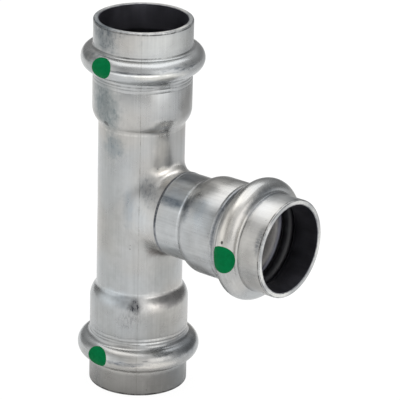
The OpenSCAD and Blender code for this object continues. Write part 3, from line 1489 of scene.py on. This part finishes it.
@dataclass(frozen=True)
class SteelFinish:
    """Pickled stainless tube, with stains from forming and handling, and with painted highlights, reflections
    and shade laid on as marks.
    """

    name: str
    turned: bool = False
    marks: tuple[StainAndPaintedLight, ...] = ()
    seam_angle: float | None = None
    colour: Colour = seen(182, 182, 181)
    warm: Colour = (1.02, 1.0, 0.975)
    cool: Colour = (0.97, 1.0, 1.03)
    seam: Colour = (0.62, 0.61, 0.59)
    seam_half_width: float = 0.17 * MM
    seam_broken: float = 0.6
    seam_least: float = 0.45
    seam_clear_from: tuple[float, float] = (46 * MM, 58 * MM)
    seam_clear_to: tuple[float, float] = (80 * MM, 74 * MM)
    pit: Colour = (0.35, 0.34, 0.33)
    pit_strength: float = 0.7
    pit_depth: float = 0.6
    ground_bright: Colour = seen(238, 238, 235)
    ground_dull: Colour = seen(188, 190, 191)
    ground_edge_shade: Colour = (0.34, 0.35, 0.38)
    ground_edge_half_width: float = 0.17 * MM
    ground_tone: float = 0.94
    ground_spread: float = 0.5
    rim_fade: tuple[float, float] = (0.2 * MM, 0.1 * MM)
    # Painted light and shade in the bore: a dark mouth, a pale stretch past the seal, a grey passage
    mouth: Colour = seen(112, 112, 121)
    mouth_shade_fade: tuple[float, float] = (13.1 * MM, 12.5 * MM)
    near_painted_light: Colour = seen(226, 223, 220)
    near_fade: tuple[float, float] = (18.5 * MM, 13.5 * MM)
    near_matte: float = 0.7
    far_painted_shade: Colour = seen(120, 120, 120)
    rough: float = 0.31
    rolled_rough: float = 0.28
    bore_rougher: float = 0.1
    rim_rougher: float = 0.12
    gloss_spread: float = 0.35
    relief: float = 0.05 * MM
    relief_strength: float = 0.2
    lines: float = 0.5
    clouds: float = 0.45
    foot_painted_shade: float = 0.0
    tube_r: float = 10.95 * MM

    def ring_lines(self, socket: PressSocket) -> tuple[RingLine, ...]:
        """Lists the lines round a part.

        Args:
            socket: The sizes of a socket.

        Returns:
            Painted shade at the bead's two edges and in the crease lines, a painted highlight at the
            shoulder's end, and a dark line at the mouth's edge.
        """
        crease = socket.bead_end + socket.crease_start
        return (
            RingLine(socket.guide_len + 0.25 * MM, 0.22 * MM, tone=0.5, broken=0.4),
            RingLine(socket.bead_end + 0.05 * MM, 0.3 * MM, tone=0.6, broken=0.5),
            RingLine(crease, 0.16 * MM, tone=0.68, broken=0.7),
            RingLine(crease + socket.crease_pitch, 0.16 * MM, tone=0.78, broken=0.8),
            RingLine(socket.shoulder_end(self.tube_r) + 0.05 * MM, 0.34 * MM, tone=1.2, broken=0.7),
            RingLine(0.42 * MM, 0.24 * MM, tone=0.22, broken=0.6),
        )

    def outside(self, metal: Metal, drawn: bpy.types.Node, pits: Wire, socket: PressSocket) -> Wire:
        """Colours the outer face.

        Args:
            metal: The readings.
            drawn: The node of the drawn steel.
            pits: The mask of the pits.
            socket: The sizes of a socket.

        Returns:
            The colour, without the rim and the marks.
        """
        sketch = metal.sketch
        tint = sketch.mix(sketch.out(drawn, "Tint"), self.cool, self.warm)
        colour = sketch.tinted(sketch.scaled(tint, sketch.out(drawn, "Tone")), 1.0, self.colour)
        # Painted shade on the run's bottom guide, darker towards the floor
        foot = metal.height.rise(socket.guide_len + 0.3 * MM, socket.guide_len - 1 * MM)
        colour = sketch.scaled(colour, 1.0 - foot * self.foot_painted_shade)
        if self.seam_angle is not None:
            turn = (metal.angle - math.radians(self.seam_angle)).call("WRAP", math.pi, -math.pi)
            line = metal.line(turn * socket.socket_r, 0.0, self.seam_half_width, self.seam_broken)
            clear = metal.height.rise(*self.seam_clear_from) * metal.height.rise(*self.seam_clear_to)
            shown = self.seam_least + (1.0 - self.seam_least) * clear
            colour = sketch.tinted(colour, line * shown, self.seam)
        # Painted shade at the bead's feet and in the creases, a painted highlight where the shoulder ends,
        # and a dark line below the rim
        for ring in self.ring_lines(socket):
            line = metal.line(metal.depth, ring.depth, ring.half_width, ring.broken)
            colour = sketch.tinted(colour, line, (ring.tone,) * 3)
        return sketch.tinted(colour, pits * self.pit_strength, self.pit)

    def ground(self, metal: Metal, socket: PressSocket) -> Wire:
        """Colours the ground face of a rim.

        Args:
            metal: The readings.
            socket: The sizes of a socket.

        Returns:
            The colour.
        """
        sketch = metal.sketch
        grain = sketch.noise(metal.vector, scale=1500, detail=4, rough=0.65) - 0.5
        worn = sketch.noise(metal.vector, scale=90, detail=2, rough=0.5).rise(0.4, 0.6)
        tone = self.ground_tone + self.ground_spread * grain
        colour = sketch.scaled(sketch.mix(worn, self.ground_bright, self.ground_dull), tone)
        # Dark lines along the rim's two edges: painted shade where the flat face turns
        for edge in (socket.socket_r - socket.wall + 0.16 * MM, socket.socket_r - 0.2 * MM):
            line = metal.line(metal.radius, edge, self.ground_edge_half_width, broken=0.5)
            colour = sketch.tinted(colour, line, self.ground_edge_shade)
        return colour

    def build(self, effects: Effects, frame: Frame, socket: PressSocket) -> bpy.types.Material:
        """Makes the material.

        Args:
            effects: The shared node groups.
            frame: Where the mouths are.
            socket: The sizes of a socket, for the lines at its bead and its rim.

        Returns:
            The material.
        """
        material, sketch, shader, vector = new_material(self.name)
        length = frame.run_len
        if self.turned:
            x, y, z = sketch.split(vector)
            vector = sketch.vector(z - frame.branch_z, y, frame.branch_len - x)
            length = 1.0
        metal = Metal.read(sketch, effects, socket, vector, length)
        drawn = sketch.group(
            effects.drawn, Vector=vector, Rolled=metal.rolled, Lines=self.lines, Clouds=self.clouds
        )
        pits = sketch.out(sketch.group(effects.pits, Vector=vector, Scale=420.0, Size=0.08, Share=0.1))
        rim = metal.depth.rise(*self.rim_fade)
        colour = sketch.mix(rim, self.outside(metal, drawn, pits, socket), self.ground(metal, socket))
        # Stains, and painted highlights, painted reflections and painted shade, multiplied into the colour
        for mark in self.marks:
            colour = sketch.tinted(colour, metal.spot(mark, socket.socket_r), mark.factor)

        # The bore's colour is painted light and shade: a dark mouth of painted shade and dark reflection, a
        # dull pale stretch just past the seal that is painted light, and a grey passage of painted shade
        bore = sketch.node("ShaderNodeAttribute")
        bore.attribute_name = "bore"
        inside = sketch.out(bore, "Fac").rise(0.45, 0.55)
        mouth, near = metal.depth.rise(*self.mouth_shade_fade), metal.depth.rise(*self.near_fade)
        passage = sketch.mix(mouth, sketch.mix(near, self.far_painted_shade, self.near_painted_light), self.mouth)
        bore_painted_light = sketch.scaled(passage, sketch.out(drawn, "Tone"))
        sketch.feed(shader.inputs["Base Color"], sketch.mix(inside, colour, bore_painted_light))
        rough = self.rough + (self.rolled_rough - self.rough) * metal.rolled
        rough += sketch.out(drawn, "Gloss") * self.gloss_spread
        rough += inside * self.bore_rougher + rim * self.rim_rougher
        sketch.feed(shader.inputs["Roughness"], rough)
        sketch.feed(shader.inputs["Metallic"], 1.0 - inside * near * (1.0 - mouth) * self.near_matte)
        height = sketch.out(drawn, "Height") - pits * self.pit_depth
        sketch.bump(shader, height, self.relief_strength, self.relief)
        return material


@dataclass(frozen=True)
class RubberFinish:
    """Black seal rubber, faintly mottled by talc."""

    name: str = "seal rubber"
    colour: Colour = seen(26, 26, 30)
    dusty: Colour = seen(40, 40, 44)
    rough: float = 0.36

    def build(self) -> bpy.types.Material:
        """Makes the material.

        Returns:
            The material.
        """
        material, sketch, shader, vector = new_material(self.name)
        dust = sketch.noise(vector, scale=380, detail=4, rough=0.6)
        sketch.feed(shader.inputs["Base Color"], sketch.mix(dust.rise(0.45, 0.7), self.colour, self.dusty))
        sketch.feed(shader.inputs["Roughness"], self.rough + dust * 0.15)
        grain = sketch.noise(vector, scale=4000, detail=2, rough=0.5)
        sketch.bump(shader, grain, strength=0.15, distance=0.03 * MM)
        return material


@dataclass(frozen=True)
class PaintFinish:
    """Green marking paint, dead flat, a little thinner in places."""

    name: str = "marking paint"
    colour: Colour = seen(0, 109, 61)
    thin: Colour = seen(0, 102, 56)
    rough: float = 0.6
    specular: float = 0.04

    def build(self) -> bpy.types.Material:
        """Makes the material.

        Returns:
            The material.
        """
        material, sketch, shader, vector = new_material(self.name)
        body = sketch.noise(vector, scale=700, detail=4, rough=0.6)
        sketch.feed(shader.inputs["Base Color"], sketch.mix(body.rise(0.4, 0.65), self.colour, self.thin))
        sketch.feed(shader.inputs["Roughness"], self.rough + (body - 0.5) * 0.3)
        shader.inputs["Specular IOR Level"].default_value = self.specular
        grain = sketch.noise(vector, scale=2600, detail=3, rough=0.5)
        sketch.bump(shader, grain, strength=0.25, distance=0.03 * MM)
        return material


@dataclass(frozen=True)
class Lamp:
    """A soft lamp, placed by its angle to the right of the camera and its height over the floor."""

    name: str
    aside: float
    elevation: float
    distance: float
    width: float
    height: float
    power: float
    colour: Colour = (1.0, 1.0, 1.0)
    aim_height: float = 49 * MM

    def build(self, front: float) -> None:
        """Makes the lamp.

        Args:
            front: The camera's direction from the tee, in degrees from +X.
        """
        way = direction(front + self.aside, self.elevation)
        light = bpy.data.lights.new(self.name, "AREA")
        light.shape, light.size, light.size_y = "RECTANGLE", self.width, self.height
        light.energy, light.color = self.power, self.colour
        lamp = link(bpy.data.objects.new(self.name, light))
        lamp.location = Vector((0, 0, self.aim_height)) + way * self.distance
        lamp.rotation_euler = way.to_track_quat("Z", "Y").to_euler()


@dataclass(frozen=True)
class Glow:
    """A pale wall of the room, as the metal mirrors it: full up to inner degrees off, gone at outer."""

    aside: float
    elevation: float
    inner: float
    outer: float
    strength: float


@dataclass
class Studio:
    """A pale floor, a pale room and two soft lamps, each far larger than the tee."""

    front: float
    floor_size: float = 3.0
    floor_drop: float = 0.05 * MM
    floor_colour: Colour = (0.88, 0.88, 0.88)
    floor_rough: float = 0.9
    # Painted shade and a painted glow on the floor, seen only in reflections and bounce
    dark_side: float = 122.0
    dark_span: tuple[float, float] = (0.05, 0.28)
    dark_share: float = 0.45
    pale_side: float = 42.0
    pale_span: tuple[float, float] = (0.1, 0.3)
    white_shown: float = 0.9
    white_mirrored: float = 0.15
    pale_mirrored: float = 0.5
    glow_shown: float = 1.05
    glow_mirrored: float = 1.3
    fill: float = 0.82
    dim: float = 0.3
    room_tint: Colour = (1.0, 1.0, 0.995)
    glows: tuple[Glow, ...] = (
        Glow(aside=30, elevation=10, inner=15, outer=82, strength=0.55),
        Glow(aside=-80, elevation=8, inner=10, outer=44, strength=0.8),
        Glow(aside=180, elevation=78, inner=15, outer=62, strength=0.5),
    )
    lamps: tuple[Lamp, ...] = (
        Lamp("top", aside=170, elevation=80, distance=1.3, width=1.6, height=1.5, power=8.0),
        Lamp(
            "key",
            aside=46,
            elevation=18,
            distance=1.2,
            width=0.9,
            height=0.7,
            power=1.7,
            colour=(1.0, 0.98, 0.955),
        ),
    )

    @staticmethod
    def toward(place: tuple[Wire, Wire, Wire], way: Vector) -> Wire:
        """How far a place lies in a direction."""
        x, y, z = place
        return x * way.x + y * way.y + z * way.z

    def floor_material(self) -> bpy.types.Material:
        """Makes the floor's finish.

        Returns:
            A pale material that the camera sees as white, apart from the tee's shadow.
            In reflections and bounce it has painted shade behind the tee and a painted glow ahead of it.
        """
        material, sketch, shader, vector = new_material("floor")
        path = sketch.node("ShaderNodeLightPath")
        place = sketch.split(vector)
        # Seen only in reflections and bounce: painted shade behind the tee and a painted glow ahead of it
        painted_shade_zone = self.toward(place, direction(self.front + self.dark_side, 0)).rise(*self.dark_span)
        painted_glow_zone = self.toward(place, direction(self.front + self.pale_side, 0)).rise(*self.pale_span)
        painted_floor_shade = tuple(part * self.dark_share for part in self.floor_colour)
        camera, mirrored = sketch.out(path, "Is Camera Ray"), sketch.out(path, "Is Glossy Ray")
        share = painted_shade_zone * (1.0 - camera)
        sketch.feed(shader.inputs["Base Color"], sketch.mix(share, self.floor_colour, painted_floor_shade))
        shader.inputs["Roughness"].default_value = self.floor_rough
        shader.inputs["Specular IOR Level"].default_value = 0.0
        direct = camera.call("MAXIMUM", sketch.out(path, "Is Transmission Ray"))
        lifted = direct * self.white_shown + mirrored * (self.white_mirrored + painted_glow_zone * self.pale_mirrored)
        glow = self.glow_mirrored - direct * (self.glow_mirrored - self.glow_shown)
        white = sketch.node("ShaderNodeEmission", Strength=glow)
        mixed = sketch.node("ShaderNodeMixShader", Fac=lifted)
        sketch.feed(mixed.inputs[1], shader.outputs[0])
        sketch.feed(mixed.inputs[2], white.outputs[0])
        sketch.feed(sketch.tree.nodes["Material Output"].inputs["Surface"], mixed.outputs[0])
        return material

    def surround(self) -> bpy.types.World:
        """Makes the world.

        Returns:
            A world that is white behind the tee, softly shaded in its reflections, and an even fill.
        """
        world = bpy.data.worlds.new("studio")
        world.use_nodes = True
        sketch = Sketch(world.node_tree)
        background = sketch.tree.nodes["Background"]
        path = sketch.node("ShaderNodeLightPath")
        place = sketch.split(sketch.out(sketch.node("ShaderNodeTexCoord"), "Generated"))
        shown: Wire | float = self.dim
        for glow in self.glows:
            near = self.toward(place, direction(self.front + glow.aside, glow.elevation))
            edges = (math.cos(math.radians(angle)) for angle in (glow.outer, glow.inner))
            shown = near.rise(*edges) * glow.strength + shown
        sharp = sketch.out(path, "Is Glossy Ray").call("MAXIMUM", sketch.out(path, "Is Transmission Ray"))
        level = sharp * (shown - self.fill) + self.fill
        camera = sketch.out(path, "Is Camera Ray")
        sketch.feed(background.inputs["Strength"], camera * (1.0 - level) + level)
        sketch.feed(background.inputs["Color"], sketch.mix(camera, self.room_tint, (1.0, 1.0, 1.0)))
        return world

    def build(self) -> None:
        """Makes the floor, the world and the lamps."""
        scene = bpy.context.scene
        scene.view_settings.view_transform = "Standard"
        mesh = bpy.data.meshes.new("floor")
        half = self.floor_size
        corners = [(-half, -half, 0), (half, -half, 0), (half, half, 0), (-half, half, 0)]
        mesh.from_pydata(corners, [], [(0, 1, 2, 3)])
        mesh.materials.append(self.floor_material())
        floor = link(bpy.data.objects.new("floor", mesh))
        floor.location.z = -self.floor_drop
        scene.world = self.surround()
        for lamp in self.lamps:
            lamp.build(self.front)


# Each mark is given by its angle, height, half arc, half height and factor, then its softness,
# gaps and strength where they differ from the usual. Factors over 1 are painted highlights and
# painted reflections. The dark ones are a few stains and specks, and otherwise painted shade and
# dark painted reflections. First those on the run
RUN_STAINS_AND_PAINTED_LIGHT = (
    # Painted shade down the tube's left side
    StainAndPaintedLight(-102, 48.0, 5.0, 36.0, (0.85, 0.85, 0.84), 1.3),
    StainAndPaintedLight(-55, 24.6, 1.5, 1.8, (0.1, 0.1, 0.12), 0.9, 0.4),
    StainAndPaintedLight(-60, 21.0, 2.8, 2.4, (0.6, 0.6, 0.62), 1.2, 0.9, 0.6),
    # Painted highlight on the lower shoulder
    StainAndPaintedLight(-36, 25.4, 3.8, 2.2, (1.5, 1.47, 1.45), 1.1),
    StainAndPaintedLight(-86, 26.0, 4.6, 2.0, (1.22, 1.27, 1.32), 1.0, 0.2),
    StainAndPaintedLight(-3, 25.4, 6.0, 1.7, (0.6, 0.6, 0.62), 0.9),
    StainAndPaintedLight(-63, 10.0, 4.0, 0.6, (0.34, 0.36, 0.4), 0.9, 0.4),
    StainAndPaintedLight(-76, 10.8, 3.0, 1.0, (1.2, 1.24, 1.28), 1.2),
    # Painted highlight on the lower bead
    StainAndPaintedLight(-34, 9.6, 5.0, 0.7, (1.55, 1.53, 1.5), 1.1),
    StainAndPaintedLight(-37, 14.45, 4.5, 0.3, (1.7, 1.7, 1.7), 0.8, 0.2),
    StainAndPaintedLight(-34, 15.4, 3.5, 0.22, (1.5, 1.5, 1.5), 0.8, 0.4),
    StainAndPaintedLight(-44, 11.0, 0.5, 0.14, (0.35, 0.35, 0.38), 0.8, 0.5),
    StainAndPaintedLight(-14, 34.0, 4.5, 7.0, (0.8, 0.8, 0.79), 1.8),
    StainAndPaintedLight(-14, 19.5, 5.5, 3.6, (0.85, 0.85, 0.84), 1.8),
    StainAndPaintedLight(2, 12.6, 7.0, 2.2, (0.5, 0.52, 0.55), 1.3),
    # Painted shade on the bottom guide, near the floor
    StainAndPaintedLight(-10, 4.0, 6.0, 2.6, (0.8, 0.8, 0.8), 1.5),
    StainAndPaintedLight(-91, 66.8, 3.0, 2.8, (0.6, 0.67, 0.72), 1.1, 0.3),
    StainAndPaintedLight(-25, 73.7, 3.0, 1.3, (1.35, 1.33, 1.3), 1.6),
    StainAndPaintedLight(-23, 66.6, 1.9, 4.6, (1.4, 1.37, 1.33), 1.8),
    StainAndPaintedLight(-97, 77.0, 4.2, 5.6, (0.5, 0.56, 0.58), 1.0, 0.3),
    StainAndPaintedLight(-98, 72.8, 0.8, 0.6, (0.3, 0.3, 0.3), 0.8, 0.2),
    StainAndPaintedLight(8, 78.0, 2.6, 5.0, (0.8, 0.79, 0.78), 1.0),
    StainAndPaintedLight(-62, 88.5, 6.0, 0.26, (0.34, 0.35, 0.37), 0.8, 0.4),
    StainAndPaintedLight(-60, 88.0, 6.0, 0.24, (1.7, 1.7, 1.7), 0.8, 0.3),
    StainAndPaintedLight(-36, 87.6, 5.0, 0.8, (1.4, 1.36, 1.28), 1.2),
    # Painted shade on the top rim's left side
    StainAndPaintedLight(-126, 98.0, 9.5, 2.0, (0.42, 0.46, 0.5), 1.4, 0.3),
    StainAndPaintedLight(150, 98.0, 5.0, 2.0, (0.7, 0.72, 0.74), 1.4, 0.5),
    StainAndPaintedLight(-12, 89.0, 5.0, 0.7, (0.45, 0.47, 0.5), 0.9, 0.7),
    StainAndPaintedLight(-104, 89.5, 4.0, 1.2, (0.66, 0.69, 0.71), 1.1, 0.6),
    StainAndPaintedLight(-98, 94.4, 3.6, 3.2, (0.5, 0.54, 0.57), 1.2, 0.5),
    StainAndPaintedLight(-110, 94.6, 4.4, 4.0, (0.6, 0.64, 0.67), 1.5),
    StainAndPaintedLight(-110, 81.0, 4.0, 6.0, (0.76, 0.8, 0.83), 1.5),
    StainAndPaintedLight(-20, 94.6, 8.0, 3.0, (1.12, 1.11, 1.08), 1.2),
    StainAndPaintedLight(-52, 50.0, 2.6, 4.6, (1.14, 1.16, 1.18), 1.3),
    StainAndPaintedLight(-66, 51.5, 1.5, 4.6, (0.78, 0.82, 0.86), 1.2, 0.3),
    StainAndPaintedLight(-42, 57.0, 2.2, 3.4, (0.55, 0.57, 0.6), 1.1, 0.4),
    # Painted highlight on the collar beside the weld
    StainAndPaintedLight(-12, 60.9, 5.2, 1.1, (1.8, 1.77, 1.73), 1.1),
    StainAndPaintedLight(-27, 39.6, 3.0, 1.5, (0.55, 0.51, 0.5), 1.1, 0.3),
)
# The same on the branch, where the height is the depth from its mouth. Here too most are
# painted highlights, painted reflections and painted shade
BRANCH_STAINS_AND_PAINTED_LIGHT = (
    StainAndPaintedLight(-2, 30.6, 3.0, 4.4, (0.5, 0.52, 0.56), 1.3),
    StainAndPaintedLight(-19, 30.0, 1.3, 2.6, (1.5, 1.5, 1.5), 1.3),
    StainAndPaintedLight(-116, 3.6, 9.0, 2.8, (0.78, 0.78, 0.78), 1.5),
    StainAndPaintedLight(-58, 19.5, 3.4, 2.6, (1.2, 1.23, 1.26), 1.6),
    StainAndPaintedLight(-47, 31.0, 2.2, 6.0, (0.74, 0.77, 0.8), 1.5),
    StainAndPaintedLight(-52, 31.2, 1.3, 4.6, (0.4, 0.44, 0.49), 1.3, 0.3),
    StainAndPaintedLight(-37, 30.8, 1.5, 4.2, (1.28, 1.3, 1.33), 1.4),
    StainAndPaintedLight(-34, 27.5, 7.0, 0.32, (1.6, 1.62, 1.64), 0.8, 0.2),
    StainAndPaintedLight(-50, 26.2, 1.6, 1.0, (0.5, 0.53, 0.56), 1.3, 0.5),
    StainAndPaintedLight(-24, 31.4, 4.0, 2.6, (0.86, 0.87, 0.89), 1.1, 0.2),
    StainAndPaintedLight(-46, 24.8, 4.2, 1.5, (0.56, 0.59, 0.63), 1.3, 0.4),
    StainAndPaintedLight(-52, 21.2, 2.6, 2.2, (0.76, 0.79, 0.82), 1.2),
    StainAndPaintedLight(-62, 14.9, 8.5, 0.6, (0.46, 0.48, 0.52), 1.0, 0.2),
    StainAndPaintedLight(-20, 14.7, 5.0, 0.9, (0.55, 0.57, 0.6), 1.0),
    StainAndPaintedLight(-58, 9.6, 6.0, 1.1, (1.3, 1.28, 1.24), 1.0, 0.1),
    StainAndPaintedLight(-76, 9.6, 0.35, 0.3, (0.15, 0.15, 0.15), 0.6),
    StainAndPaintedLight(-15, 6.8, 6.0, 0.8, (0.55, 0.57, 0.6), 0.9),
    StainAndPaintedLight(-32, 3.6, 5.0, 2.2, (1.1, 1.12, 1.15), 1.4, 0.2),
    StainAndPaintedLight(-66, 1.1, 3.4, 0.9, (0.42, 0.44, 0.47), 1.1, 0.4),
)
# Where the weld is dark along its seam
WELD_MARKS = (
    StainAndPaintedLight(-52, 34.4, 11.0, 0.34, (0.3, 0.31, 0.33), 0.6, 0.2),
    StainAndPaintedLight(-110, 34.3, 9.0, 0.2, (0.6, 0.6, 0.62), 0.6, 0.6),
)


def main() -> None:
    """Builds the tee."""
    logging.basicConfig(level=logging.INFO, format="%(name)s: %(message)s")
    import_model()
    frame, socket, lathe, effects = Frame.read(), PressSocket(), Lathe(), Effects()
    Viewpoint().build()
    Studio(front=Viewpoint.azimuth - 90).build()
    run_finish = SteelFinish("run steel", marks=RUN_STAINS_AND_PAINTED_LIGHT, seam_angle=-52.0, foot_painted_shade=0.38)
    branch_finish = SteelFinish("branch steel", turned=True, marks=BRANCH_STAINS_AND_PAINTED_LIGHT, lines=0.75, clouds=0.7)
    weld_finish = SteelFinish(
        "weld steel", turned=True, marks=WELD_MARKS, colour=seen(152, 153, 155), rough=0.42
    )
    run_steel, branch_steel, weld_steel = (
        finish.build(effects, frame, socket) for finish in (run_finish, branch_finish, weld_finish)
    )
    rubber, paint = RubberFinish().build(), PaintFinish().build()

    run = RunBody(frame, socket)
    dots = (
        PaintDot(frame, socket, Site.BOTTOM, angle=-93.5, lobes=(0.64, -1.86, -4.36)),
        PaintDot(frame, socket, Site.TOP, angle=-93, lobes=(2.49, 1.84, 1.19), to_mouth=0.35 * MM),
        PaintDot(
            frame,
            socket,
            Site.BRANCH,
            angle=-93,
            lobes=(0.2, -0.3, 0.4),
            half_round=3.75 * MM,
            half_along=3.9 * MM,
            wobble=0.03,
            to_mouth=0.6 * MM,
        ),
    )
    pieces = [
        run.dress(lathe, run_steel),
        BranchSocket(frame, socket, run).dress(lathe, branch_steel),
        WeldSeam(frame, socket, run).dress(lathe, weld_steel),
        *(SealRing(frame, socket, site).dress(lathe, rubber) for site in Site),
        *(dot.dress(paint) for dot in dots),
    ]
    for made in pieces:
        log.info("%s: %d faces", made.name, len(made.data.polygons))


if __name__ == "__main__":
    main()
